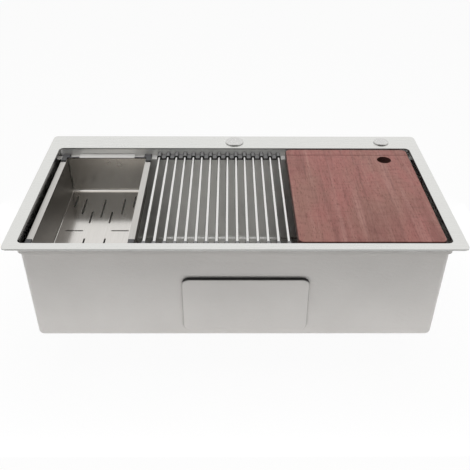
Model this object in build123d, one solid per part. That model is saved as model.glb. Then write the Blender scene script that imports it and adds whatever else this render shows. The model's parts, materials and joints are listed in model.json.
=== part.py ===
from build123d import *
import math
import os

# A drop-in kitchen sink with one bowl and sliding accessories on its ledges.
# Millimetres, +X to the right, +Y to the back, +Z up.
# The origin is the centre of the rim, on the plane of the worktop's surface.

# Rim deck
RIM_LENGTH = 820.0
RIM_DEPTH = 450.0
RIM_THICK = 3.0
RIM_CORNER_R = 10.0
RIM_EDGE_R = 0.8
SIDE_BAND = 24.0
FRONT_BAND = 19.5
BACK_BAND = 60.0
OPENING_R = 10.0
SEAL_THICK = 1.5
SEAL_WIDTH = 6.0
SEAL_INSET = 3.0

# Bowl
SHEET = 1.2
COAT = 2.0
LEDGE_DROP = 19.0
LEDGE_WIDTH = 17.0
BOWL_HEIGHT = 229.0
SIDE_LEAN = 5.0
BOWL_CORNER_R = 6.0
BOWL_BOTTOM_R = 8.0

# Sound pads
PAD_WIDTH = 239.0
PAD_HEIGHT = 126.0
PAD_THICK = 6.0
PAD_R = 15.0
PAD_EDGE_R = 3.5
PAD_FRONT_X = 19.0
PAD_FOOT_GAP = 16.0
SIDE_PAD_WIDTH = 180.0
BOTTOM_PAD_WIDTH = 220.0
BOTTOM_PAD_DEPTH = 200.0
BOTTOM_PAD_X = 205.0

# Tap-hole covers
TAP_HOLE_D = 35.0
TAP_X = 0.0
DISPENSER_HOLE_D = 28.0
DISPENSER_X = 330.0
COVER_LIP = 2.7
COVER_THICK = 2.4
COVER_EDGE_R = 1.4
COVER_GASKET = 0.6
COVER_STUD_D = 6.0
COVER_STUD_LENGTH = 26.0
COVER_WASHER_LIP = 3.0
COVER_WASHER = 2.0
COVER_NUT_D = 16.0
COVER_NUT_THICK = 7.0

# Drain and its strainer
DRAIN_X = 0.0
DRAIN_Y = 40.0
DRAIN_FLANGE_D = 112.0
DRAIN_FLANGE_THICK = 1.6
DRAIN_CUP_D = 86.0
DRAIN_CUP_DEPTH = 50.0
DRAIN_WALL = 2.0
TAIL_D = 48.0
TAIL_LENGTH = 36.0
TAIL_WALL = 3.0
DRAIN_HOLE_GAP = 1.0
THREAD_GAP = 0.2
DRAIN_GASKET = 3.0
DRAIN_WASHER = 1.5
DRAIN_NUT_THICK = 11.0
DRAIN_NUT_WALL = 9.0
DRAIN_NUT_LUGS = 6
DRAIN_NUT_LUG = 6.0
BASKET_GAP = 0.6
BASKET_WALL = 1.0
BASKET_DEPTH = 37.0
BASKET_RIM = 2.5
BASKET_HOLES = 12
BASKET_HOLE_D = 5.0
BASKET_HOLE_IN = 10.6
PLUG_D = 56.0
PLUG_THICK = 4.0
POST_D = 7.0
KNOB_D = 18.0
KNOB_THICK = 5.0
KNOB_RISE = 12.0

# Colander
COLANDER_WALL_GAP = 6.9
COLANDER_WIDTH = 195.8
COLANDER_FLANGE = 11.0
COLANDER_LEAN = 3.0
COLANDER_DEPTH = 98.0
COLANDER_SHEET = 1.0
COLANDER_BEND_R = 6.5
COLANDER_SIDE_BEND_R = 2.5
COLANDER_SEAM = 1.6
COLANDER_HEM = 7.0
COLANDER_FLANGE_RISE = 1.8
COLANDER_FLANGE_THICK = 1.2
SLOT_WIDTH = 3.6
SLOT_STEP = 21.5
SLOT_SIDE_IN = 20.0
SLOT_OFF_MIDDLE = 3.2
OUTER_SLOT_IN = 19.5
OUTER_SLOT = 48.0
SECOND_SLOT_IN = 32.5
SECOND_SLOT = 64.0
INNER_SLOT_IN = 84.5
INNER_SLOT = 47.0
MIDDLE_SLOT_IN = 34.5
MIDDLE_SLOT = 75.0
CROSS_SLOT = 37.0
BAR_LENGTH = 122.0
BAR_THICK = 1.5
BAR_END_R = 4.0
BLOCK_WIDTH = 16.0
BLOCK_LENGTH = 14.0
BLOCK_HEIGHT = 5.0
BLOCK_EDGE_R = 0.8
STRIP_WIDTH = 4.0
STRIP_GAP = 0.3

# Roll-up rack, its rods spread over the room between the colander and the board
RACK_LEFT_GAP = 12.6
RACK_RIGHT_GAP = 10.1
ROD_COUNT = 15
ROD_D = 6.0
ROD_GAP = 0.05
SLEEVE_D = 10.0
SLEEVE_LENGTH = 18.0
SLEEVE_END = 3.0
SLEEVE_WEB = 3.5
SLEEVE_SPLIT = 0.2
SLEEVE_END_LIP = 0.3

# Chopping board
BOARD_WIDTH = 265.4
BOARD_SIDE_GAP = 8.6
BOARD_END_GAP = 5.2
BOARD_THICK = 18.0
BOARD_CORNER_R = 11.0
BOARD_EDGE_R = 2.0
BATTEN_WIDTH = 26.0
BATTEN_GROOVE = 1.4
FINGER_HOLE_D = 30.0
FINGER_HOLE_IN_X = 56.0
FINGER_HOLE_IN_Y = 48.3

# Clearances of what lies on the ledges
SEAT_GAP = 0.2
END_GAP = 1.5
LEDGE_GAP = 2.0

# Worktop clips
CLIP_WIDTH = 24.0
CLIP_SHEET = 2.0
CLIP_DROP = 50.0
CLIP_REACH = 10.8
CLIP_SIDE_Y = 90.0
LUG_WIDTH = 12.0
LUG_THICK = 3.0
LUG_DROP = 6.0
LUG_PROUD = 1.0
CLIP_TOP_GAP = 2.0
LUG_GAP = 0.3
CLIP_SCREW_D = 4.0
CLIP_SCREW_LENGTH = 24.0
CLIP_SCREW_HEAD_D = 7.0
CLIP_SCREW_HEAD = 3.0
CLIP_PAD_D = 6.4
CLIP_PAD_THICK = 2.0

# Levels and lines worked out from the sizes above
RIM_UNDER = SEAL_THICK
RIM_TOP = RIM_UNDER + RIM_THICK
LEDGE_Z = RIM_TOP - LEDGE_DROP
SEAT_Z = LEDGE_Z + SEAT_GAP
BOWL_BOTTOM = RIM_TOP - BOWL_HEIGHT
FLOOR_Z = BOWL_BOTTOM + SHEET
OPEN_X = RIM_LENGTH / 2 - SIDE_BAND
OPEN_FRONT = FRONT_BAND - RIM_DEPTH / 2
OPEN_BACK = RIM_DEPTH / 2 - BACK_BAND
BOWL_FRONT = OPEN_FRONT + LEDGE_WIDTH
BOWL_BACK = OPEN_BACK - LEDGE_WIDTH
MIDDLE_Y = (OPEN_FRONT + OPEN_BACK) / 2
TAP_Y = OPEN_BACK + BACK_BAND / 2
REST_FRONT = OPEN_FRONT + END_GAP
REST_BACK = OPEN_BACK - END_GAP
DROP_FRONT = BOWL_FRONT + LEDGE_GAP
DROP_BACK = BOWL_BACK - LEDGE_GAP
COLANDER_LEFT = COLANDER_WALL_GAP - OPEN_X
COLANDER_RIGHT = COLANDER_LEFT + COLANDER_WIDTH
BOARD_RIGHT = OPEN_X - BOARD_SIDE_GAP
BOARD_LEFT = BOARD_RIGHT - BOARD_WIDTH

nodes = {}


def block(x0, x1, y0, y1, z0, z1):
    """A plain box between two corners."""
    middle = Pos((x0 + x1) / 2, (y0 + y1) / 2, (z0 + z1) / 2)
    return middle * Box(x1 - x0, y1 - y0, z1 - z0)


def slab(x0, x1, y0, y1, z0, z1, radius):
    """A box with rounded upright corners."""
    outline = RectangleRounded(x1 - x0, y1 - y0, radius)
    return Pos((x0 + x1) / 2, (y0 + y1) / 2, z0) * extrude(outline, z1 - z0)


def disc(x, y, z0, z1, diameter):
    """An upright round disc."""
    return Pos(x, y, (z0 + z1) / 2) * Cylinder(diameter / 2, z1 - z0)


def ring(x, y, z0, z1, outer, inner):
    """An upright ring."""
    return disc(x, y, z0, z1, outer) - disc(x, y, z0, z1, inner)


def turned(x, y, profile):
    """A solid turned about an upright axis from (radius, height) points."""
    face = Plane.XZ * make_face(Polyline(profile, close=True))
    return Pos(x, y, 0) * revolve(face, Axis.Z)


def leaning_box(x_top, x_bottom, y0, y1, z0, z1):
    """A box whose two sides lean in towards its bottom."""
    outline = Polyline((-x_top, z1), (x_top, z1), (x_bottom, z0), (-x_bottom, z0), close=True)
    return Pos(0, y1, 0) * extrude(Plane.XZ * make_face(outline), y1 - y0)


def tub(x_top, x_bottom, y0, y1, z0, z1, corner_r, bottom_r):
    """A leaning box with rounded upright corners and a rounded bottom."""
    solid = leaning_box(x_top, x_bottom, y0, y1, z0, z1)
    tall = (z1 - z0) / 2
    corners = [e for e in solid.edges() if e.bounding_box().size.Z > tall]
    solid = fillet(corners, corner_r)
    return fillet(solid.edges().group_by(Axis.Z)[0], bottom_r)


def lean_at(z):
    """How far the bowl's side has leaned in at a height below its ledge."""
    return SIDE_LEAN * (LEDGE_Z - z) / (LEDGE_Z - BOWL_BOTTOM)


def bowl_form(grow):
    """The bowl's form, its steel's inner face moved out by a distance."""
    bottom = FLOOR_Z - grow
    upper_bottom = LEDGE_Z - grow
    top = RIM_UNDER if grow else RIM_TOP
    upper = slab(
        -OPEN_X - grow, OPEN_X + grow, OPEN_FRONT - grow, OPEN_BACK + grow,
        upper_bottom, top, OPENING_R + grow,
    )
    lower = tub(
        OPEN_X + grow, OPEN_X + grow - lean_at(bottom), BOWL_FRONT - grow, BOWL_BACK + grow,
        bottom, LEDGE_Z, BOWL_CORNER_R + grow, BOWL_BOTTOM_R + grow,
    )
    return upper + lower


def clip_places():
    """Where the worktop clips stand on the bowl's two side walls."""
    side = OPEN_X + SHEET
    places = []
    for y in (MIDDLE_Y - CLIP_SIDE_Y, MIDDLE_Y + CLIP_SIDE_Y):
        places.append(Pos(side, y, RIM_UNDER))
        places.append(Pos(-side, y, RIM_UNDER) * Rot(0, 0, 180))
    return places


# Worktop clips: a lug welded to the wall, a bent arm hooked on it and a screw
lug_low = -LUG_DROP - LUG_THICK
lug_reach = COAT + CLIP_SHEET + LUG_PROUD
lug = block(0, lug_reach, -LUG_WIDTH / 2, LUG_WIDTH / 2, lug_low, -LUG_DROP)
arm_in = COAT
arm_out = COAT + CLIP_SHEET
foot_top = -CLIP_DROP
foot_low = foot_top - CLIP_SHEET
screw_x = (arm_out + CLIP_REACH) / 2
half_clip = CLIP_WIDTH / 2
arm = block(arm_in, arm_out, -half_clip, half_clip, foot_low, -CLIP_TOP_GAP)
arm += block(arm_in, CLIP_REACH, -half_clip, half_clip, foot_low, foot_top)
arm -= block(
    0, lug_reach, -LUG_WIDTH / 2 - LUG_GAP, LUG_WIDTH / 2 + LUG_GAP, lug_low - LUG_GAP, -LUG_DROP,
)
arm -= disc(screw_x, 0, foot_low, foot_top, CLIP_SCREW_D + THREAD_GAP)
screw_low = foot_low - CLIP_SCREW_HEAD - SEAT_GAP
screw_top = screw_low + CLIP_SCREW_HEAD + CLIP_SCREW_LENGTH
screw = disc(screw_x, 0, screw_low, screw_top, CLIP_SCREW_D)
screw += disc(screw_x, 0, screw_low, screw_low + CLIP_SCREW_HEAD, CLIP_SCREW_HEAD_D)
screw += disc(screw_x, 0, screw_top, screw_top + CLIP_PAD_THICK, CLIP_PAD_D)
lugs = [place * lug for place in clip_places()]
nodes["clip_lugs"] = Compound(children=lugs)
nodes["clip_arms"] = Compound(children=[place * arm for place in clip_places()])
nodes["clip_screws"] = Compound(children=[place * screw for place in clip_places()])

# Rim deck with the bowl's opening and two tap holes
deck = slab(
    -RIM_LENGTH / 2, RIM_LENGTH / 2, -RIM_DEPTH / 2, RIM_DEPTH / 2, RIM_UNDER, RIM_TOP, RIM_CORNER_R,
)
deck -= slab(-OPEN_X, OPEN_X, OPEN_FRONT, OPEN_BACK, RIM_UNDER, RIM_TOP, OPENING_R)
deck = fillet(deck.edges().group_by(Axis.Z)[-1], RIM_EDGE_R)
covers = [(TAP_X, TAP_HOLE_D), (DISPENSER_X, DISPENSER_HOLE_D)]
for hole_x, hole_d in covers:
    deck -= disc(hole_x, TAP_Y, RIM_UNDER, RIM_TOP, hole_d)
nodes["rim_deck"] = deck

# Sealing strip between the rim and the worktop
edge_x = RIM_LENGTH / 2 - SEAL_INSET
edge_y = RIM_DEPTH / 2 - SEAL_INSET
seal_r = RIM_CORNER_R - SEAL_INSET
seal = slab(-edge_x, edge_x, -edge_y, edge_y, 0, RIM_UNDER, seal_r)
in_x = edge_x - SEAL_WIDTH
in_y = edge_y - SEAL_WIDTH
seal -= block(-in_x, in_x, -in_y, in_y, 0, RIM_UNDER)
nodes["rim_seal"] = seal

# Bowl of sheet steel and the sprayed coat on its outside
drain_hole_d = DRAIN_CUP_D + 2 * DRAIN_HOLE_GAP
steel_form = bowl_form(SHEET)
bowl = steel_form - bowl_form(0)
bowl -= disc(DRAIN_X, DRAIN_Y, BOWL_BOTTOM, FLOOR_Z, drain_hole_d)
nodes["bowl"] = bowl
coat = bowl_form(SHEET + COAT) - steel_form
coat -= disc(DRAIN_X, DRAIN_Y, BOWL_BOTTOM - COAT, BOWL_BOTTOM, DRAIN_FLANGE_D + 2 * DRAIN_NUT_LUG)
for welded in lugs:
    coat -= welded
nodes["sound_coat"] = coat


def sound_pad(origin, x_dir, outward, width, height):
    """A raised sound pad with rounded corners on one face of the coat."""
    pad = extrude(RectangleRounded(width, height, PAD_R), PAD_THICK)
    pad = fillet(pad.edges().group_by(Axis.Z)[-1], PAD_EDGE_R)
    return Plane(origin=origin, x_dir=x_dir, z_dir=outward) * pad


# Sound pads on the coat: front, rear, both sides and the bottom
skin = SHEET + COAT
pad_z = BOWL_BOTTOM + PAD_FOOT_GAP + PAD_HEIGHT / 2
lean_angle = math.atan2(SIDE_LEAN, LEDGE_Z - BOWL_BOTTOM)
pad_side_x = OPEN_X + skin - lean_at(pad_z + SHEET + COAT)
lean_out = math.cos(lean_angle)
lean_down = -math.sin(lean_angle)
nodes["front_sound_pad"] = sound_pad(
    (PAD_FRONT_X, BOWL_FRONT - skin, pad_z), (1, 0, 0), (0, -1, 0), PAD_WIDTH, PAD_HEIGHT,
)
nodes["rear_sound_pad"] = sound_pad(
    (0, BOWL_BACK + skin, pad_z), (-1, 0, 0), (0, 1, 0), PAD_WIDTH, PAD_HEIGHT,
)
side_pads = []
for side in (-1, 1):
    side_pads.append(sound_pad(
        (side * pad_side_x, MIDDLE_Y, pad_z), (0, side, 0), (side * lean_out, 0, lean_down),
        SIDE_PAD_WIDTH, PAD_HEIGHT,
    ))
nodes["side_sound_pads"] = Compound(children=side_pads)
bottom_pads = []
for side in (-1, 1):
    bottom_pads.append(sound_pad(
        (side * BOTTOM_PAD_X, MIDDLE_Y, BOWL_BOTTOM - COAT), (1, 0, 0), (0, 0, -1),
        BOTTOM_PAD_WIDTH, BOTTOM_PAD_DEPTH,
    ))
nodes["bottom_sound_pads"] = Compound(children=bottom_pads)

# Tap-hole covers, each with a gasket, a stud, a washer and a nut under the deck
cover_caps = []
cover_gaskets = []
cover_washers = []
cover_nuts = []
for hole_x, hole_d in covers:
    cover_d = hole_d + 2 * COVER_LIP
    cap_low = RIM_TOP + COVER_GASKET
    cap = disc(hole_x, TAP_Y, cap_low, cap_low + COVER_THICK, cover_d)
    cap = fillet(cap.edges().group_by(Axis.Z)[-1], COVER_EDGE_R)
    cap += disc(hole_x, TAP_Y, cap_low - COVER_STUD_LENGTH, cap_low, COVER_STUD_D)
    cover_caps.append(cap)
    cover_gaskets.append(ring(hole_x, TAP_Y, RIM_TOP, cap_low, cover_d - COVER_GASKET, hole_d - COVER_LIP))
    washer_low = RIM_UNDER - COVER_WASHER
    washer_d = hole_d + 2 * COVER_WASHER_LIP
    nut_low = washer_low - COVER_NUT_THICK
    stud_hole = COVER_STUD_D + THREAD_GAP
    cover_washers.append(ring(hole_x, TAP_Y, washer_low, RIM_UNDER, washer_d, stud_hole))
    nut = extrude(RegularPolygon(COVER_NUT_D / 2, 6), COVER_NUT_THICK)
    nut = Pos(hole_x, TAP_Y, nut_low) * nut - disc(hole_x, TAP_Y, nut_low, washer_low, stud_hole)
    cover_nuts.append(nut)
nodes["tap_hole_covers"] = Compound(children=cover_caps)
nodes["cover_gaskets"] = Compound(children=cover_gaskets)
nodes["cover_washers"] = Compound(children=cover_washers)
nodes["cover_nuts"] = Compound(children=cover_nuts)

# Drain: a flanged cup with a threaded tail, clamped to the floor by a nut
cup_r = DRAIN_CUP_D / 2
cup_in_r = cup_r - DRAIN_WALL
flange_r = DRAIN_FLANGE_D / 2
flange_top = FLOOR_Z + DRAIN_FLANGE_THICK
cup_low = FLOOR_Z - DRAIN_CUP_DEPTH
cup_floor = cup_low + DRAIN_WALL
tail_r = TAIL_D / 2
tail_in_r = tail_r - TAIL_WALL
tail_low = cup_low - TAIL_LENGTH
nodes["drain_body"] = turned(DRAIN_X, DRAIN_Y, [
    (cup_in_r, flange_top), (flange_r, flange_top), (flange_r, FLOOR_Z), (cup_r, FLOOR_Z),
    (cup_r, cup_low), (tail_r, cup_low), (tail_r, tail_low), (tail_in_r, tail_low),
    (tail_in_r, cup_floor), (cup_in_r, cup_floor),
])
clamp_hole = DRAIN_CUP_D + 2 * THREAD_GAP
gasket_low = BOWL_BOTTOM - DRAIN_GASKET
washer_low = gasket_low - DRAIN_WASHER
nut_low = washer_low - DRAIN_NUT_THICK
nut_d = DRAIN_CUP_D + 2 * DRAIN_NUT_WALL
nodes["drain_gasket"] = ring(DRAIN_X, DRAIN_Y, gasket_low, BOWL_BOTTOM, DRAIN_FLANGE_D, clamp_hole)
nodes["drain_washer"] = ring(DRAIN_X, DRAIN_Y, washer_low, gasket_low, DRAIN_FLANGE_D, clamp_hole)
lock_nut = disc(DRAIN_X, DRAIN_Y, nut_low, washer_low, nut_d)
lug_width = DRAIN_NUT_WALL
for index in range(DRAIN_NUT_LUGS):
    turn = Pos(DRAIN_X, DRAIN_Y, 0) * Rot(0, 0, index * 360 / DRAIN_NUT_LUGS)
    lock_nut += turn * block(0, nut_d / 2 + DRAIN_NUT_LUG, -lug_width / 2, lug_width / 2, nut_low, washer_low)
lock_nut -= disc(DRAIN_X, DRAIN_Y, nut_low, washer_low, clamp_hole)
nodes["drain_lock_nut"] = lock_nut

# Lift-out strainer: a holed basket, a post with a knob and a rubber plug
basket_r = cup_in_r - BASKET_GAP
wall_r = basket_r - BASKET_RIM
basket_top = flange_top
basket_low = basket_top - BASKET_DEPTH
basket = turned(DRAIN_X, DRAIN_Y, [
    (wall_r - BASKET_WALL, basket_top), (basket_r, basket_top), (basket_r, basket_top - BASKET_WALL),
    (wall_r, basket_top - BASKET_WALL), (wall_r, basket_low), (POST_D / 2, basket_low),
    (POST_D / 2, basket_low + BASKET_WALL), (wall_r - BASKET_WALL, basket_low + BASKET_WALL),
])
for index in range(BASKET_HOLES):
    turn = Pos(DRAIN_X, DRAIN_Y, 0) * Rot(0, 0, index * 360 / BASKET_HOLES)
    basket -= turn * disc(wall_r - BASKET_HOLE_IN, 0, basket_low, basket_low + BASKET_WALL, BASKET_HOLE_D)
    side_hole = Rot(0, 90, 0) * Cylinder(BASKET_HOLE_D / 2, basket_r)
    basket -= turn * Pos(wall_r, 0, (basket_low + basket_top) / 2) * side_hole
nodes["strainer_basket"] = basket
plug_low = cup_floor + SEAT_GAP
plug_top = plug_low + PLUG_THICK
plug = disc(DRAIN_X, DRAIN_Y, plug_low, plug_top, PLUG_D)
nodes["strainer_plug"] = fillet(plug.edges().group_by(Axis.Z)[0], PLUG_THICK / 4)
knob_top = flange_top + KNOB_RISE
knob_low = knob_top - KNOB_THICK
post = disc(DRAIN_X, DRAIN_Y, plug_top, knob_low, POST_D)
knob = disc(DRAIN_X, DRAIN_Y, knob_low, knob_top, KNOB_D)
post += fillet(knob.edges(), KNOB_THICK / 4)
post += disc(DRAIN_X, DRAIN_Y, plug_top, basket_low, KNOB_D)
nodes["strainer_post"] = post

# Colander: a slotted basket with a flange, two end bars and four corner blocks
flange_low = LEDGE_Z + COLANDER_FLANGE_RISE
flange_high = flange_low + COLANDER_FLANGE_THICK
wall_top_x = COLANDER_WIDTH / 2 - COLANDER_FLANGE
colander_low = RIM_TOP - COLANDER_DEPTH


def colander_form(shrink, z1):
    """The colander's folded trough, its outer face moved in by a distance."""
    x_top = wall_top_x - shrink
    x_bottom = x_top - COLANDER_LEAN
    z0 = colander_low + shrink
    ends = leaning_box(x_top, x_bottom, DROP_FRONT + shrink, DROP_BACK - shrink, z0, z1)
    ends = fillet(ends.edges().group_by(Axis.Z)[0].filter_by(Axis.X), COLANDER_BEND_R - shrink)
    sides = leaning_box(x_top, x_bottom, DROP_FRONT, DROP_BACK, z0, z1)
    sides = fillet(sides.edges().group_by(Axis.Z)[0].filter_by(Axis.Y), COLANDER_SIDE_BEND_R - shrink)
    return ends & sides


def corner_seams(y0, y1):
    """The open seams at both edges of an end wall, where the folded sheet leaves a gap."""
    x_top = wall_top_x - COLANDER_SHEET
    outer = leaning_box(x_top, x_top - COLANDER_LEAN, y0, y1, colander_low, flange_high)
    x_top -= COLANDER_SEAM
    inner = leaning_box(x_top, x_top - COLANDER_LEAN, y0, y1, colander_low, flange_high)
    seam_low = colander_low + COLANDER_BEND_R
    return (outer - inner) & block(-wall_top_x, wall_top_x, y0, y1, seam_low, flange_low)


def floor_slots():
    """Slots of the colander's floor about their middle: (x, y, length, lies across)."""
    flat_y = (DROP_BACK - DROP_FRONT) / 2 - COLANDER_BEND_R
    outer_x = wall_top_x - COLANDER_LEAN - SLOT_SIDE_IN
    rows = [
        (outer_x, OUTER_SLOT_IN, OUTER_SLOT),
        (outer_x - SLOT_STEP, SECOND_SLOT_IN, SECOND_SLOT),
        (outer_x - 2 * SLOT_STEP, INNER_SLOT_IN, INNER_SLOT),
    ]
    cross_x = outer_x + SLOT_WIDTH / 2 - CROSS_SLOT / 2
    slots = []
    for half in (-1, 1):
        slots.append((0, half * (flat_y - MIDDLE_SLOT_IN - MIDDLE_SLOT / 2), MIDDLE_SLOT, False))
        slots.append((half * cross_x, 0, CROSS_SLOT, True))
        for row_x, end_in, length in rows:
            row_y = half * (flat_y - end_in - length / 2)
            slots.append((row_x, row_y, length, False))
            slots.append((-row_x, row_y, length, False))
    return slots


colander = colander_form(0, flange_high)
hem = slab(
    -COLANDER_WIDTH / 2, COLANDER_WIDTH / 2, DROP_FRONT - COLANDER_HEM, DROP_BACK + COLANDER_HEM,
    flange_low, flange_high, BAR_THICK,
)
colander = colander + hem - colander_form(COLANDER_SHEET, flange_high)
colander -= corner_seams(DROP_FRONT, DROP_FRONT + COLANDER_SHEET)
colander -= corner_seams(DROP_BACK - COLANDER_SHEET, DROP_BACK)
for slot_x, slot_y, slot_length, across in floor_slots():
    cut = extrude(SlotOverall(slot_length, SLOT_WIDTH), 2 * COLANDER_SHEET)
    turn = Rot(0, 0, 0 if across else 90)
    place = Pos(slot_x - SLOT_OFF_MIDDLE, MIDDLE_Y + slot_y, colander_low - COLANDER_SHEET / 2)
    colander -= place * turn * cut
to_colander = Pos((COLANDER_LEFT + COLANDER_RIGHT) / 2, 0, 0)
nodes["colander_basket"] = to_colander * colander

bar_top = flange_high + BAR_THICK
bars = [
    slab(-BAR_LENGTH / 2, BAR_LENGTH / 2, REST_FRONT, DROP_FRONT, flange_high, bar_top, BAR_END_R),
    slab(-BAR_LENGTH / 2, BAR_LENGTH / 2, DROP_BACK, REST_BACK, flange_high, bar_top, BAR_END_R),
]
nodes["colander_end_bars"] = Compound(children=[to_colander * bar for bar in bars])


def corner_block():
    """The block at the back right corner, on the ledge and the flange, with a strip to the end bar."""
    out_x = COLANDER_WIDTH / 2
    top = SEAT_Z + BLOCK_HEIGHT
    foot = block(out_x - BLOCK_WIDTH, out_x, DROP_BACK, REST_BACK, SEAT_Z, top)
    foot = fillet(foot.edges().group_by(Axis.Z)[-1], BLOCK_EDGE_R)
    tongue = block(wall_top_x, out_x, DROP_BACK - BLOCK_LENGTH, DROP_BACK + BLOCK_EDGE_R, flange_high, top)
    tongue = fillet(tongue.edges().group_by(Axis.Z)[-1], BLOCK_EDGE_R)
    strip_x = BAR_LENGTH / 2 + STRIP_GAP
    strip = block(strip_x, out_x - BLOCK_EDGE_R, DROP_BACK, DROP_BACK + STRIP_WIDTH, flange_high, bar_top)
    lower = block(out_x - BLOCK_WIDTH, out_x, DROP_BACK, BOWL_BACK, SEAT_Z, flange_low)
    return foot + tongue + strip - lower - colander


back_right = corner_block()
back_left = mirror(back_right, Plane.YZ)
across_middle = Plane.XZ.offset(-MIDDLE_Y)
blocks = [back_right, back_left, mirror(back_right, across_middle), mirror(back_left, across_middle)]
nodes["colander_corner_blocks"] = Compound(children=[to_colander * piece for piece in blocks])

# Roll-up rack: steel rods whose ends sit in linked sleeves of silicone
rod_z = SEAT_Z + SLEEVE_D / 2
web_top = SEAT_Z + SLEEVE_WEB
half_end = SLEEVE_D / 2 + SLEEVE_END_LIP
first_rod_x = COLANDER_RIGHT + RACK_LEFT_GAP + half_end
last_rod_x = BOARD_LEFT - RACK_RIGHT_GAP - half_end
rod_pitch = (last_rod_x - first_rod_x) / (ROD_COUNT - 1)
half_web = (rod_pitch - SLEEVE_SPLIT) / 2
rod_front = REST_FRONT + SLEEVE_END
rod_back = REST_BACK - SLEEVE_END
rod_length = rod_back - rod_front
for index in range(ROD_COUNT):
    rod_x = first_rod_x + index * rod_pitch
    left = half_end if index == 0 else half_web
    right = half_end if index == ROD_COUNT - 1 else half_web
    lying = Pos(rod_x, (rod_front + rod_back) / 2, rod_z) * Rot(90, 0, 0)
    nodes[f"rack_rod_{index + 1:02d}"] = lying * Cylinder(ROD_D / 2, rod_length)
    bore = lying * Cylinder(ROD_D / 2 + ROD_GAP, rod_length)
    sleeves = []
    for y0, y1 in ((REST_FRONT, REST_FRONT + SLEEVE_LENGTH), (REST_BACK - SLEEVE_LENGTH, REST_BACK)):
        round_part = Pos(rod_x, (y0 + y1) / 2, rod_z) * Rot(90, 0, 0) * Cylinder(SLEEVE_D / 2, y1 - y0)
        web = block(rod_x - left, rod_x + right, y0, y1, SEAT_Z, web_top)
        sleeves.append(round_part + web - bore)
    nodes[f"rack_sleeves_{index + 1:02d}"] = Compound(children=sleeves)

# Chopping board, lying flush in the rim on both ledges, with an end batten and a finger hole
board_front = OPEN_FRONT + BOARD_END_GAP
board_back = OPEN_BACK - BOARD_END_GAP
board_top = SEAT_Z + BOARD_THICK
board = slab(BOARD_LEFT, BOARD_RIGHT, board_front, board_back, SEAT_Z, board_top, BOARD_CORNER_R)
board = fillet(board.edges().group_by(Axis.Z)[-1] + board.edges().group_by(Axis.Z)[0], BOARD_EDGE_R)
groove_y = board_back - BATTEN_WIDTH
groove_low = board_top - BATTEN_GROOVE
groove_front = groove_y - BATTEN_GROOVE / 2
groove_back = groove_y + BATTEN_GROOVE / 2
board -= block(BOARD_LEFT, BOARD_RIGHT, groove_front, groove_back, groove_low, board_top)
hole_x = BOARD_RIGHT - FINGER_HOLE_IN_X
hole_y = board_back - FINGER_HOLE_IN_Y
board -= disc(hole_x, hole_y, SEAT_Z, board_top, FINGER_HOLE_D)
nodes["chopping_board"] = board

os.makedirs("parts", exist_ok=True)
for name, shape in nodes.items():
    export_step(shape, f"parts/{name}.step")
print(len(nodes), "nodes written")
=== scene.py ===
import json
import math

import bpy
from mathutils import Matrix, Vector


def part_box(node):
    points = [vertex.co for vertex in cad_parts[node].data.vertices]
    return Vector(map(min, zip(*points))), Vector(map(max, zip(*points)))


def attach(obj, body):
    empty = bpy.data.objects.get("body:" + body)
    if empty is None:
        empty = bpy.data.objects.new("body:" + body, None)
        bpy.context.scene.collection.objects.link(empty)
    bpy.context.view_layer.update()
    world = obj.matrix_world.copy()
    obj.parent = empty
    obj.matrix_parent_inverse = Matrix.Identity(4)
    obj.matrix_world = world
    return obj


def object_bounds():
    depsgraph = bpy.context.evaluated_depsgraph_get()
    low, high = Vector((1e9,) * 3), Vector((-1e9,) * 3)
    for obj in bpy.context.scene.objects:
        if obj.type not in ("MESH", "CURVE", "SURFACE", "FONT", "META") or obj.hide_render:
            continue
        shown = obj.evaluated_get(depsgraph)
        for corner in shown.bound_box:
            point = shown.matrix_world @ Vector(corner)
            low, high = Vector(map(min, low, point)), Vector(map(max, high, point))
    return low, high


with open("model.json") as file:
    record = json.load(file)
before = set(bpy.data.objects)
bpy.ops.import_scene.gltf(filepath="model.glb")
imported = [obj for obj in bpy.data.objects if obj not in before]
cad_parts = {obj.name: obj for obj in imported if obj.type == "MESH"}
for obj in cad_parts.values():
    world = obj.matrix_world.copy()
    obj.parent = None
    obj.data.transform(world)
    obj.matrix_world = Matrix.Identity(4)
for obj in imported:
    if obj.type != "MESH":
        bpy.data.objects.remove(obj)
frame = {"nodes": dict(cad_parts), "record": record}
cad_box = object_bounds()
nodes = frame["nodes"]
MM = 0.001
X, Y, Z = 0, 1, 2

# Sockets of the Mix node: its share, then a pair for numbers, for directions and for colours, and what it gives
SHARE = 0
NUMBER_A, NUMBER_B = 2, 3
WAY_A, WAY_B = 4, 5
COLOUR_A, COLOUR_B = 6, 7
NUMBER, WAY, COLOUR = 0, 1, 2
# Nearly all of a noise lies in this span.
NOISE_SPAN = {"From Min": 0.3, "From Max": 0.7}


# Small helpers

def linear(hex_colour):
    """An sRGB hex colour as linear RGBA."""
    channels = []
    for start in (1, 3, 5):
        value = int(hex_colour[start:start + 2], 16) / 255
        channels.append(value / 12.92 if value <= 0.04045 else ((value + 0.055) / 1.055) ** 2.4)
    return (*channels, 1.0)


def add(tree, kind, settings=None, sockets=None):
    """Adds a node with its settings; a socket takes a value or a (node, output) link."""
    node = tree.nodes.new(kind)
    for name, value in (settings or {}).items():
        setattr(node, name, value)
    for name, value in (sockets or {}).items():
        if isinstance(value, tuple) and isinstance(value[0], bpy.types.Node):
            tree.links.new(value[0].outputs[value[1]], node.inputs[name])
        else:
            node.inputs[name].default_value = value
    return node


def per_mm(size):
    """A texture's scale, in cycles per metre, from the real size of one cycle in millimetres."""
    return 1 / (size * MM)


def new_material(name):
    """An empty node material and its tree."""
    material = bpy.data.materials.new(name)
    material.use_nodes = True
    tree = material.node_tree
    tree.nodes.clear()
    return material, tree


def close(tree, shader):
    """Joins a shader to the material's output."""
    add(tree, "ShaderNodeOutputMaterial", sockets={"Surface": (shader, "BSDF")})


# Materials

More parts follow.
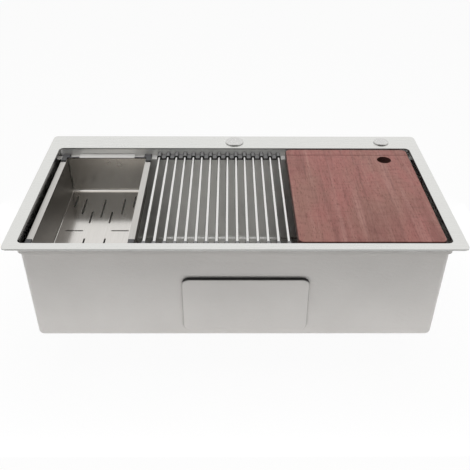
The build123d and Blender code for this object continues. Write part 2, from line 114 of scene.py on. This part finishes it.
def uneven(tree, blotch, tones, speck, roughness):
    """A tone that wanders between two colours with one noise, and a roughness that wanders with another."""
    share = add(tree, "ShaderNodeMapRange", sockets={"Value": blotch, **NOISE_SPAN})
    tone = add(tree, "ShaderNodeMix", {"data_type": "RGBA"}, {
        SHARE: (share, "Result"), COLOUR_A: linear(tones[0]), COLOUR_B: linear(tones[1])})
    rough = add(tree, "ShaderNodeMapRange", sockets={
        "Value": speck, **NOISE_SPAN, "To Min": roughness[0], "To Max": roughness[1]})
    return (tone, COLOUR), (rough, "Result")


def brushing(tree, coords, line_mm, run_mm, main, other, facing):
    """Straight brush lines along one axis, and along another on faces that look along a third.

    Gives the lines' height and the direction across them, in which they blur a reflection."""
    # Drawn coarser than the real 0.1 mm, so that they show at the photo's size.
    lines = []
    for axis in (main, other):
        scale = [per_mm(line_mm)] * 3
        scale[axis] = per_mm(run_mm)
        stretch = add(tree, "ShaderNodeMapping", sockets={"Vector": (coords, "Object"), "Scale": scale})
        lines.append(add(tree, "ShaderNodeTexNoise", sockets={
            "Vector": (stretch, "Vector"), "Scale": 1.0, "Detail": 3.0, "Roughness": 0.6}))
    parts = add(tree, "ShaderNodeSeparateXYZ", sockets={"Vector": (coords, "Normal")})
    looks = add(tree, "ShaderNodeMath", {"operation": "ABSOLUTE"}, {0: (parts, facing)})
    turned = add(tree, "ShaderNodeMath", {"operation": "GREATER_THAN"}, {0: (looks, 0), 1: 0.7})
    height = add(tree, "ShaderNodeMix", {"data_type": "FLOAT"}, {
        SHARE: (turned, 0), NUMBER_A: (lines[0], "Fac"), NUMBER_B: (lines[1], "Fac")})
    along = [Vector((0, 0, 0)), Vector((0, 0, 0))]
    along[0][main] = 1
    along[1][other] = 1
    grain = add(tree, "ShaderNodeMix", {"data_type": "VECTOR"}, {
        SHARE: (turned, 0), WAY_A: along[0], WAY_B: along[1]})
    surface = add(tree, "ShaderNodeNewGeometry")
    across = add(tree, "ShaderNodeVectorMath", {"operation": "CROSS_PRODUCT"}, {
        0: (surface, "Normal"), 1: (grain, WAY)})
    return (height, NUMBER), (across, "Vector")


def brushed_steel(name, tones, roughness, walls, ends, line_mm, run_mm, depth, stretch, grain, lip=None):
    """Stainless steel, belt brushed: fine straight lines that streak the gloss and blur it across them.

    Its walls, and the walls that look along X, are drawn and not brushed: each has a roughness, and a tone of
    its own that paints light or shade onto it by facing.
    A lip is a height in mm, a tint and a roughness: level steel above it is worn duller by what lies on it, and
    a tint darker than white paints shade onto it."""
    material, tree = new_material(name)
    coords = add(tree, "ShaderNodeTexCoord")
    lines, across = brushing(tree, coords, line_mm, run_mm, *grain)
    tone, rough = uneven(tree, lines, tones, lines, roughness)
    # Above the lip the tone is multiplied by the tint: painted shade where the tint is darker than white.
    if lip:
        lip_mm, tint, lip_rough = lip
        place = add(tree, "ShaderNodeSeparateXYZ", sockets={"Vector": (coords, "Object")})
        raised = add(tree, "ShaderNodeMath", {"operation": "GREATER_THAN"}, {
            0: (place, "Z"), 1: lip_mm * MM})
        tinted = add(tree, "ShaderNodeMix", {"data_type": "RGBA", "blend_type": "MULTIPLY"}, {
            SHARE: (raised, 0), COLOUR_A: tone, COLOUR_B: linear(tint)})
        wear_and_top_light = add(tree, "ShaderNodeMix", {"data_type": "FLOAT"}, {
            SHARE: (raised, 0), NUMBER_A: rough, NUMBER_B: lip_rough})
        tone, rough = (tinted, COLOUR), (wear_and_top_light, NUMBER)
    parts = add(tree, "ShaderNodeSeparateXYZ", sockets={"Vector": (coords, "Normal")})
    level = add(tree, "ShaderNodeMath", {"operation": "ABSOLUTE"}, {0: (parts, "Z")})
    upright = add(tree, "ShaderNodeMapRange", sockets={
        "Value": (level, 0), "From Min": 0.8, "From Max": 0.4})
    sideways = add(tree, "ShaderNodeMath", {"operation": "ABSOLUTE"}, {0: (parts, "X")})
    endwise = add(tree, "ShaderNodeMapRange", sockets={
        "Value": (sideways, 0), "From Min": 0.6, "From Max": 0.9})
    # Upright faces and faces that look along X take their own tone: painted light or shade by facing.
    for mask, (wall_colour, wall_rough) in ((upright, walls), (endwise, ends)):
        toned = add(tree, "ShaderNodeMix", {"data_type": "RGBA"}, {
            SHARE: (mask, "Result"), COLOUR_A: tone, COLOUR_B: linear(wall_colour)})
        roughed = add(tree, "ShaderNodeMix", {"data_type": "FLOAT"}, {
            SHARE: (mask, "Result"), NUMBER_A: rough, NUMBER_B: wall_rough})
        tone, rough = (toned, COLOUR), (roughed, NUMBER)
    cloud = add(tree, "ShaderNodeTexNoise", sockets={
        "Vector": (coords, "Object"), "Scale": per_mm(90), "Detail": 2.0})
    worn = add(tree, "ShaderNodeMath", {"operation": "MULTIPLY_ADD"}, {0: (cloud, "Fac"), 1: 0.05, 2: rough})
    relief = add(tree, "ShaderNodeBump", sockets={
        "Height": lines, "Strength": depth, "Distance": 0.05 * MM})
    shader = add(tree, "ShaderNodeBsdfPrincipled", sockets={
        "Base Color": tone, "Metallic": 1.0, "Roughness": (worn, 0), "Anisotropic": stretch,
        "Tangent": across, "Normal": (relief, "Normal")})
    close(tree, shader)
    return material


def turned_steel(name, tones, roughness, mottle_mm):
    """Stainless steel turned or plated: a faint even mottle in its tone and gloss."""
    material, tree = new_material(name)
    coords = add(tree, "ShaderNodeTexCoord")
    mottle = add(tree, "ShaderNodeTexNoise", sockets={
        "Vector": (coords, "Object"), "Scale": per_mm(mottle_mm), "Detail": 3.0, "Roughness": 0.6})
    tone, rough = uneven(tree, (mottle, "Fac"), tones, (mottle, "Fac"), roughness)
    relief = add(tree, "ShaderNodeBump", sockets={
        "Height": (mottle, "Fac"), "Strength": 0.15, "Distance": 0.03 * MM})
    shader = add(tree, "ShaderNodeBsdfPrincipled", sockets={
        "Base Color": tone, "Metallic": 1.0, "Roughness": rough, "Normal": (relief, "Normal")})
    close(tree, shader)
    return material


def sprayed_coat(name, dark_edges):
    """Grey sound-deadening coat, sprayed: an orange-peel skin with a soft, low gloss."""
    material, tree = new_material(name)
    coords = add(tree, "ShaderNodeTexCoord")
    # Drawn coarser than the real 2 mm, so that it shows at the photo's size.
    sag = add(tree, "ShaderNodeMapping", sockets={
        "Vector": (coords, "Object"), "Scale": (per_mm(9), per_mm(9), per_mm(4))})
    peel = add(tree, "ShaderNodeTexNoise", sockets={
        "Vector": (sag, "Vector"), "Scale": 1.0, "Detail": 2.0, "Roughness": 0.55})
    grit = add(tree, "ShaderNodeTexNoise", sockets={
        "Vector": (coords, "Object"), "Scale": per_mm(1.6), "Detail": 2.0, "Roughness": 0.6})
    patch = add(tree, "ShaderNodeTexNoise", sockets={
        "Vector": (coords, "Object"), "Scale": per_mm(140), "Detail": 2.0})
    height = add(tree, "ShaderNodeMath", {"operation": "MULTIPLY_ADD"}, {
        0: (grit, "Fac"), 1: 0.25, 2: (peel, "Fac")})
    tone, rough = uneven(tree, (patch, "Fac"), ("#C8C5C2", "#C1BEBB"), (grit, "Fac"), (0.45, 0.62))
    relief = add(tree, "ShaderNodeBump", sockets={
        "Height": (height, 0), "Strength": 0.9, "Distance": 0.6 * MM})
    if dark_edges:
        # The pad's rounded edges darken a little, which is painted shade, and faces that look up turn near
        # black.
        parts = add(tree, "ShaderNodeSeparateXYZ", sockets={"Vector": (coords, "Normal")})
        sizes = add(tree, "ShaderNodeVectorMath", {"operation": "ABSOLUTE"}, {0: (coords, "Normal")})
        each = add(tree, "ShaderNodeSeparateXYZ", sockets={"Vector": (sizes, 0)})
        wider = add(tree, "ShaderNodeMath", {"operation": "MAXIMUM"}, {0: (each, "X"), 1: (each, "Y")})
        widest = add(tree, "ShaderNodeMath", {"operation": "MAXIMUM"}, {0: (wider, 0), 1: (each, "Z")})
        rounded = add(tree, "ShaderNodeMapRange", sockets={
            "Value": (widest, 0), "From Min": 0.95, "From Max": 0.75, "To Min": 0.0, "To Max": 0.3})
        upward = add(tree, "ShaderNodeMapRange", sockets={
            "Value": (parts, "Z"), "From Min": 0.25, "From Max": 0.6})
        darkened_edge = add(tree, "ShaderNodeMath", {"operation": "MAXIMUM"}, {0: (rounded, 0), 1: (upward, 0)})
        edged = add(tree, "ShaderNodeMix", {"data_type": "RGBA"}, {
            SHARE: (darkened_edge, 0), COLOUR_A: tone, COLOUR_B: linear("#1B1A1A")})
        tone = (edged, COLOUR)
    shader = add(tree, "ShaderNodeBsdfPrincipled", sockets={
        "Base Color": tone, "Roughness": rough, "Normal": (relief, "Normal")})
    close(tree, shader)
    return material


def moulded(name, tones, roughness, grain_mm, depth, wear_and_top_light=None):
    """Moulded rubber or plastic: an even skin with a fine grain from the mould.

    Faces that look up can have a paler colour, painted as top light."""
    material, tree = new_material(name)
    coords = add(tree, "ShaderNodeTexCoord")
    grain = add(tree, "ShaderNodeTexNoise", sockets={
        "Vector": (coords, "Object"), "Scale": per_mm(grain_mm), "Detail": 3.0, "Roughness": 0.6})
    patch = add(tree, "ShaderNodeTexNoise", sockets={
        "Vector": (coords, "Object"), "Scale": per_mm(grain_mm * 14), "Detail": 2.0})
    tone, rough = uneven(tree, (patch, "Fac"), tones, (grain, "Fac"), roughness)
    relief = add(tree, "ShaderNodeBump", sockets={
        "Height": (grain, "Fac"), "Strength": depth, "Distance": 0.1 * MM})
    # Faces that look up take the paler colour: painted top light.
    if wear_and_top_light:
        parts = add(tree, "ShaderNodeSeparateXYZ", sockets={"Vector": (coords, "Normal")})
        upward = add(tree, "ShaderNodeMapRange", sockets={
            "Value": (parts, "Z"), "From Min": 0.45, "From Max": 0.95})
        topped = add(tree, "ShaderNodeMix", {"data_type": "RGBA"}, {
            SHARE: (upward, "Result"), COLOUR_A: tone, COLOUR_B: linear(wear_and_top_light)})
        tone = (topped, COLOUR)
    shader = add(tree, "ShaderNodeBsdfPrincipled", sockets={
        "Base Color": tone, "Roughness": rough, "Normal": (relief, "Normal")})
    close(tree, shader)
    return material


def sapele_wood(top):
    """Sapele, planed and oiled: reddish brown, straight streaks, a faint cross figure, short dark pores.

    Below the top face the wood is darker: partly end grain that soaks up more oil, and partly painted shade on
    its sides, grooves and underside."""
    material, tree = new_material("sapele_oiled")
    coords = add(tree, "ShaderNodeTexCoord")

    # Each layer of the figure: its size across and along the grain in mm, the noise at which it starts and is
    # full, its strength and its colour. The last layer is the pores, which also dent and dull the wood.
    figure = (
        (90, 200, 0.42, 0.62, 0.6, "#8C695B"),
        (40, 300, 0.5, 0.68, 0.55, "#7A4842"),
        (13, 420, 0.5, 0.68, 0.6, "#B0837A"),
        (34, 8, 0.5, 0.68, 0.35, "#74473F"),
        (6, 200, 0.53, 0.7, 0.45, "#663B35"),
        (2.2, 12, 0.52, 0.7, 0.5, "#5A332E"),
    )
    grain_tilt = math.radians(2)
    tone = linear("#A0665F")
    for number, (across, along, start, full, strength, shade) in enumerate(figure):
        place = add(tree, "ShaderNodeMapping", sockets={
            "Vector": (coords, "Object"), "Location": (3.7 * number, 1.9 * number, 0),
            "Rotation": (0, 0, grain_tilt), "Scale": (per_mm(across), per_mm(along), per_mm(across))})
        layer = add(tree, "ShaderNodeTexNoise", sockets={
            "Vector": (place, "Vector"), "Scale": 1.0, "Detail": 3.0, "Roughness": 0.6, "Distortion": 0.3})
        share = add(tree, "ShaderNodeMapRange", sockets={
            "Value": (layer, "Fac"), "From Min": start, "From Max": full, "To Max": strength})
        mixed = add(tree, "ShaderNodeMix", {"data_type": "RGBA"}, {
            SHARE: (share, "Result"), COLOUR_A: tone, COLOUR_B: linear(shade)})
        tone = (mixed, COLOUR)
    # Darker below the top face: end grain's oil, and painted shade on the sides, grooves and underside.
    height = add(tree, "ShaderNodeSeparateXYZ", sockets={"Vector": (coords, "Object")})
    depth = add(tree, "ShaderNodeMapRange", sockets={
        "Value": (height, "Z"), "From Min": top - 0.2 * MM, "From Max": top - 0.9 * MM, "To Max": 0.8})
    oil_and_shade_below_top = add(tree, "ShaderNodeMix", {"data_type": "RGBA"}, {
        SHARE: (depth, "Result"), COLOUR_A: tone, COLOUR_B: linear("#3B1F1B")})
    rough = add(tree, "ShaderNodeMapRange", sockets={
        "Value": (layer, "Fac"), **NOISE_SPAN, "To Min": 0.42, "To Max": 0.6})
    relief = add(tree, "ShaderNodeBump", sockets={
        "Height": (layer, "Fac"), "Strength": 0.2, "Distance": 0.15 * MM})
    shader = add(tree, "ShaderNodeBsdfPrincipled", sockets={
        "Base Color": (oil_and_shade_below_top, COLOUR), "Roughness": (rough, "Result"), "Normal": (relief, "Normal")})
    close(tree, shader)
    return material


# Brush directions: along the rim's length, along the folded sheet, and along a rod
ALONG_LENGTH = (X, Y, X)
ALONG_FOLD = (Z, Y, Z)
ALONG_ROD = (Y, Y, X)

finishes = {
    # Bright with fine lines along the rim; its thin edges are greyer, which is painted shade
    "rim_steel": brushed_steel(
        "rim_stainless_brushed", tones=("#D9D9D6", "#E2E2DF"), roughness=(0.2, 0.27),
        walls=("#A3A3A1", 0.35), ends=("#A3A3A1", 0.35),
        line_mm=0.45, run_mm=60, depth=0.05, stretch=0.5, grain=ALONG_LENGTH),
    # Satin walls, ends that mirror darkly, and dull ledges that the accessories slide on; the walls' paler tone
    # and the ends' darker tone are painted light and shade
    "bowl_steel": brushed_steel(
        "bowl_stainless_satin", tones=("#E5E4E1", "#EFEEEC"), roughness=(0.18, 0.26),
        walls=("#F8F7F4", 0.4), ends=("#B4B3B1", 0.17),
        line_mm=0.9, run_mm=70, depth=0.06, stretch=0.9, grain=ALONG_LENGTH, lip=(-16, "#FFFFFF", 0.65)),
    # Pale warm grey, soft, with a low peel
    "sound_coat": sprayed_coat("sprayed_sound_coat", dark_edges=False),
    # The same coat, near black on the pad's upper side, with painted shade on its rounded edges
    "pad_coat": sprayed_coat("coated_rubber_pad", dark_edges=True),
    # Black and quite matt
    "seal_foam": moulded(
        "closed_cell_foam", tones=("#1F1F1F", "#2B2B2B"), roughness=(0.7, 0.9), grain_mm=0.8, depth=0.4),
    # Pale discs with an even sheen
    "cover_steel": turned_steel(
        "cover_stainless_turned", tones=("#CDCCCA", "#D8D7D5"), roughness=(0.2, 0.3), mottle_mm=2.0),
    # Black with a dull sheen
    "black_rubber": moulded(
        "black_rubber", tones=("#171717", "#222222"), roughness=(0.5, 0.65), grain_mm=0.7, depth=0.2),
    # Off-white and smooth
    "white_plastic": moulded(
        "white_nylon", tones=("#DAD8D3", "#E4E3DF"), roughness=(0.35, 0.5), grain_mm=0.6, depth=0.1),
    # Bright, close to a mirror
    "drain_steel": turned_steel(
        "drain_stainless_polished", tones=("#CBCAC8", "#DCDBD9"), roughness=(0.1, 0.2), mottle_mm=1.5),
    # Brown and dry, like thick card
    "washer_fibre": moulded(
        "pressed_fibre", tones=("#8C6345", "#A67B58"), roughness=(0.75, 0.9), grain_mm=1.2, depth=0.4),
    # Black with a plastic shine
    "nut_plastic": moulded(
        "black_polypropylene", tones=("#202021", "#2A2A2B"), roughness=(0.35, 0.5), grain_mm=0.8, depth=0.2),
    # Warm satin sheet with a mirror floor, dark ends and a duller lip; the walls' paler tone, the ends' dark
    # tone and the lip's darker tint are painted light and shade
    "colander_steel": brushed_steel(
        "colander_stainless_satin", tones=("#D1CEC9", "#DDDAD6"), roughness=(0.1, 0.15),
        walls=("#F8F4EE", 0.24), ends=("#7F7B76", 0.45),
        line_mm=0.9, run_mm=60, depth=0.05, stretch=0.5, grain=ALONG_FOLD, lip=(-30, "#E6E6E6", 0.2)),
    # Nearly black, with dark grey painted onto faces that look up as top light
    "grey_silicone": moulded(
        "dark_grey_silicone", tones=("#101011", "#161617"), roughness=(0.45, 0.6), grain_mm=0.6, depth=0.15,
        wear_and_top_light="#4B4B4C"),
    # Bright rods with one long highlight
    "rod_steel": brushed_steel(
        "rod_stainless_polished", tones=("#DDDCDA", "#E6E6E4"), roughness=(0.1, 0.18),
        walls=("#DDDCDA", 0.14), ends=("#DDDCDA", 0.14),
        line_mm=0.8, run_mm=40, depth=0.04, stretch=0.3, grain=ALONG_ROD),
    # Black, with grey painted onto faces that look up, such as the sleeves' crowns, as top light
    "black_silicone": moulded(
        "black_silicone", tones=("#0D0D0E", "#131314"), roughness=(0.35, 0.45), grain_mm=0.6, depth=0.15,
        wear_and_top_light="#7C7C7C"),
    # Red-brown with dark streaks
    "sapele_wood": sapele_wood(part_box("chopping_board")[1].z),
    # Cool grey with a soft metal sheen
    "zinc_steel": turned_steel(
        "zinc_plated_steel", tones=("#AEB3B6", "#C6CACC"), roughness=(0.25, 0.4), mottle_mm=3.0),
}
for subpart in frame["record"]["subparts"]:
    piece = nodes[subpart["node"]]
    piece.data.materials.clear()
    piece.data.materials.append(finishes[subpart["material_slot"]])
# The end bars are cut from strip brushed along its length: paler and duller than the colander. Their upright
# faces take a darker tone, which is painted shade.
bar_steel = brushed_steel(
    "bar_stainless_brushed", tones=("#EDECE9", "#F6F5F2"), roughness=(0.4, 0.5),
    walls=("#B4B3B0", 0.4), ends=("#B4B3B0", 0.4),
    line_mm=0.6, run_mm=60, depth=0.06, stretch=0.9, grain=ALONG_LENGTH)
nodes["colander_end_bars"].data.materials[0] = bar_steel


# Threads, wound by Geometry Nodes round the clip screws, the cover studs and the drain's tail

def thread_winder():
    """A node tree that winds a three-sided ridge up from each given place."""
    tree = bpy.data.node_groups.new("thread_winder", "GeometryNodeTree")
    for name, kind in (
        ("Places", "NodeSocketGeometry"), ("Radius", "NodeSocketFloat"), ("Length", "NodeSocketFloat"),
        ("Pitch", "NodeSocketFloat"), ("Ridge", "NodeSocketFloat"), ("Steps", "NodeSocketInt"),
        ("Finish", "NodeSocketMaterial"),
    ):
        tree.interface.new_socket(name, in_out="INPUT", socket_type=kind)
    tree.interface.new_socket("Threads", in_out="OUTPUT", socket_type="NodeSocketGeometry")
    given = add(tree, "NodeGroupInput")
    turns = add(tree, "ShaderNodeMath", {"operation": "DIVIDE"}, {
        0: (given, "Length"), 1: (given, "Pitch")})
    path = add(tree, "GeometryNodeCurveSpiral", sockets={
        "Resolution": (given, "Steps"), "Rotations": (turns, 0), "Start Radius": (given, "Radius"),
        "End Radius": (given, "Radius"), "Height": (given, "Length")})
    upright = add(tree, "GeometryNodeSetCurveNormal", {"mode": "Z_UP"}, {"Curve": (path, 0)})
    profile = add(tree, "GeometryNodeCurvePrimitiveCircle", {"mode": "RADIUS"}, {
        "Resolution": 3, "Radius": (given, "Ridge")})
    point_out = add(tree, "GeometryNodeTransform", sockets={
        "Geometry": (profile, 0), "Rotation": (0, 0, math.pi)})
    ridge = add(tree, "GeometryNodeCurveToMesh", sockets={
        "Curve": (upright, 0), "Profile Curve": (point_out, 0), "Fill Caps": True})
    wound = add(tree, "GeometryNodeInstanceOnPoints", sockets={
        "Points": (given, "Places"), "Instance": (ridge, 0)})
    solid = add(tree, "GeometryNodeRealizeInstances", sockets={"Geometry": (wound, 0)})
    painted = add(tree, "GeometryNodeSetMaterial", sockets={
        "Geometry": (solid, 0), "Material": (given, "Finish")})
    add(tree, "NodeGroupOutput", sockets={"Threads": (painted, 0)})
    return tree


winder = thread_winder()


def wind_threads(name, places, slot, **sizes):
    """Threads that start at the places, as one plain mesh that rides on the sink."""
    starts = bpy.data.meshes.new(name + "_starts")
    starts.from_pydata(places, [], [])
    holder = bpy.data.objects.new(name, starts)
    bpy.context.scene.collection.objects.link(holder)
    modifier = holder.modifiers.new("threads", "NODES")
    modifier.node_group = winder
    for socket in winder.interface.items_tree:
        if socket.name in sizes:
            modifier[socket.identifier] = sizes[socket.name]
        elif socket.name == "Finish":
            modifier[socket.identifier] = finishes[slot]
    shape = bpy.data.meshes.new_from_object(holder.evaluated_get(bpy.context.evaluated_depsgraph_get()))
    holder.modifiers.clear()
    holder.data = shape
    bpy.data.meshes.remove(starts)
    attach(holder, "sink")


SCREW_HEAD = Vector((7.0, 7.0, 3.0)) * MM
SCREW_R = 2.0 * MM
SCREW_THREAD_LENGTH = 23 * MM
MAIN_COVER_R = 20.2 * MM
SIDE_COVER_R = 16.7 * MM
STUD_R = 3.0 * MM
STUD_THREAD_LENGTH = 12.6 * MM
FINE_PITCH = 1.2 * MM
FINE_RIDGE = 0.4 * MM
FINE_START = 0.5 * MM
TAIL_R = 24 * MM
TAIL_THREAD_LENGTH = 30 * MM
TAIL_PITCH = 2.2 * MM
TAIL_RIDGE = 0.7 * MM
TAIL_START = 2 * MM

low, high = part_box("clip_screws")
screw_low = low.z + SCREW_HEAD.z + FINE_START
wind_threads(
    "clip_screw_threads",
    [(x, y, screw_low) for x in (low.x + SCREW_HEAD.x / 2, high.x - SCREW_HEAD.x / 2)
     for y in (low.y + SCREW_HEAD.y / 2, high.y - SCREW_HEAD.y / 2)],
    "zinc_steel",
    Radius=SCREW_R, Length=SCREW_THREAD_LENGTH, Pitch=FINE_PITCH, Ridge=FINE_RIDGE, Steps=24)
low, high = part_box("tap_hole_covers")
stud_y = (low.y + high.y) / 2
stud_low = low.z + FINE_START
wind_threads(
    "cover_stud_threads",
    [(low.x + MAIN_COVER_R, stud_y, stud_low), (high.x - SIDE_COVER_R, stud_y, stud_low)],
    "cover_steel",
    Radius=STUD_R, Length=STUD_THREAD_LENGTH, Pitch=FINE_PITCH, Ridge=FINE_RIDGE, Steps=32)
low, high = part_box("drain_body")
wind_threads(
    "drain_tail_thread", [((low.x + high.x) / 2, (low.y + high.y) / 2, low.z + TAIL_START)],
    "drain_steel",
    Radius=TAIL_R, Length=TAIL_THREAD_LENGTH, Pitch=TAIL_PITCH, Ridge=TAIL_RIDGE, Steps=96)


# Camera, as it stood for the photograph

CAMERA_PLACE = Vector((-0.0108, -1.1867, 0.6804))
CAMERA_PITCH = math.radians(33.88)
CAMERA_YAW = math.radians(0.549)
CAMERA_ROLL = math.radians(0.354)
CAMERA_LENS = 51.84
SENSOR = 36.0


def place_camera():
    """A level camera turned by its yaw, tipped down by its pitch and rolled a little."""
    lens = bpy.data.cameras.new("camera")
    lens.sensor_width = SENSOR
    lens.lens = CAMERA_LENS
    lens.clip_start = 0.01
    camera = bpy.data.objects.new("camera", lens)
    bpy.context.scene.collection.objects.link(camera)
    ahead = Vector((
        math.sin(CAMERA_YAW) * math.cos(CAMERA_PITCH),
        math.cos(CAMERA_YAW) * math.cos(CAMERA_PITCH),
        -math.sin(CAMERA_PITCH),
    ))
    right = Vector((math.cos(CAMERA_YAW), -math.sin(CAMERA_YAW), 0))
    up = right.cross(ahead)
    tilted_right = right * math.cos(CAMERA_ROLL) + up * math.sin(CAMERA_ROLL)
    tilted_up = up * math.cos(CAMERA_ROLL) - right * math.sin(CAMERA_ROLL)
    turn = Matrix((tilted_right, tilted_up, -ahead)).transposed()
    camera.matrix_world = Matrix.Translation(CAMERA_PLACE) @ turn.to_4x4()
    bpy.context.scene.camera = camera


# Studio: a white surround, a pale floor, a grey card behind the camera, an overhead lamp and four low glows

def shown_white(tree):
    """1 for rays from the camera, mirrors and glass, which see the surround as plain white."""
    path = add(tree, "ShaderNodeLightPath")
    mirrored = add(tree, "ShaderNodeMath", {"operation": "MAXIMUM"}, {
        0: (path, "Is Camera Ray"), 1: (path, "Is Glossy Ray")})
    return add(tree, "ShaderNodeMath", {"operation": "MAXIMUM"}, {
        0: (mirrored, "Value"), 1: (path, "Is Transmission Ray")})


def white_surround(ambient):
    """A surround that lights the object evenly and shows as white."""
    world = bpy.data.worlds.new("surround")
    bpy.context.scene.world = world
    world.use_nodes = True
    tree = world.node_tree
    tree.nodes.clear()
    seen = shown_white(tree)
    level = add(tree, "ShaderNodeMix", {"data_type": "FLOAT"}, {
        SHARE: (seen, "Value"), NUMBER_A: ambient, NUMBER_B: 1.0})
    light = add(tree, "ShaderNodeBackground", sockets={"Color": (1, 1, 1, 1), "Strength": (level, NUMBER)})
    add(tree, "ShaderNodeOutputWorld", sockets={"Surface": (light, "Background")})


def stage_panel(name, corners, material):
    """A flat panel of the studio."""
    mesh = bpy.data.meshes.new(name)
    mesh.from_pydata(corners, [], [(0, 1, 2, 3)])
    panel = bpy.data.objects.new(name, mesh)
    bpy.context.scene.collection.objects.link(panel)
    mesh.materials.append(material)
    return panel


def pale_floor(z, half, shown):
    """White paper that shows white but keeps a part of the object's shadow."""
    material, tree = new_material("floor_white_paper")
    seen = shown_white(tree)
    share = add(tree, "ShaderNodeMath", {"operation": "MULTIPLY"}, {0: (seen, "Value"), 1: shown})
    paper = add(tree, "ShaderNodeBsdfDiffuse", sockets={"Color": linear("#F4F4F3")})
    white = add(tree, "ShaderNodeEmission", sockets={"Color": (1, 1, 1, 1), "Strength": 1.0})
    both = add(tree, "ShaderNodeMixShader", sockets={
        0: (share, "Value"), 1: (paper, "BSDF"), 2: (white, "Emission")})
    add(tree, "ShaderNodeOutputMaterial", sockets={"Surface": (both, "Shader")})
    stage_panel("floor", [(-half, -half, z), (half, -half, z), (half, half, z), (-half, half, z)], material)


def dark_card(y, half, low, high):
    """A grey card that stands behind the camera, for the steel's walls to mirror."""
    material, tree = new_material("card_grey_felt")
    felt = add(tree, "ShaderNodeBsdfDiffuse", sockets={"Color": linear("#B8B8B8")})
    close(tree, felt)
    card = stage_panel(
        "dark_card", [(-half, y, low), (half, y, low), (half, y, high), (-half, y, high)], material)
    card.visible_camera = False
    card.visible_diffuse = False


def soft_lamp(name, place, aim, width, depth, watts):
    """A broad lamp that shines from its place towards its aim."""
    lamp = bpy.data.lights.new(name, "AREA")
    lamp.shape = "RECTANGLE"
    lamp.size = width
    lamp.size_y = depth
    lamp.energy = watts
    holder = bpy.data.objects.new(name, lamp)
    bpy.context.scene.collection.objects.link(holder)
    holder.location = place
    holder.visible_camera = False
    holder.rotation_euler = (Vector(aim) - Vector(place)).to_track_quat("-Z", "Y").to_euler()
    return holder


FLOOR_GAP = 2 * MM
GLOW_HEIGHT = 20 * MM
GLOW_DEPTH = 0.1
GLOW_AIM_Z = -0.2

bpy.context.scene.view_settings.view_transform = "Standard"
place_camera()
white_surround(ambient=0.2)
floor_z = cad_box[0].z - FLOOR_GAP
pale_floor(floor_z, half=6.0, shown=0.95)
dark_card(y=-2.2, half=2.6, low=0.15, high=2.8)
overhead = soft_lamp("overhead", (0.0, 0.1, 1.6), (0, 0, 0), width=2.0, depth=1.4, watts=23.5)
# The level steel mirrors the white surround and not the lamp, which would burn it out from above.
overhead.visible_glossy = False
# The glows lie on the floor round the sink: each one's name, its place, where it aims, its width and its watts.
for name, (x, y), (aim_x, aim_y), width, watts in (
    ("front_glow", (0, -0.42), (0, -0.19), 1.8, 1.85),
    ("back_glow", (0, 0.42), (0, 0.18), 1.8, 1.5),
    ("left_glow", (-0.66, 0), (-0.39, 0), 0.9, 0.8),
    ("right_glow", (0.66, 0), (0.39, 0), 0.9, 0.8),
):
    soft_lamp(name, (x, y, floor_z + GLOW_HEIGHT), (aim_x, aim_y, GLOW_AIM_Z), width, GLOW_DEPTH, watts)
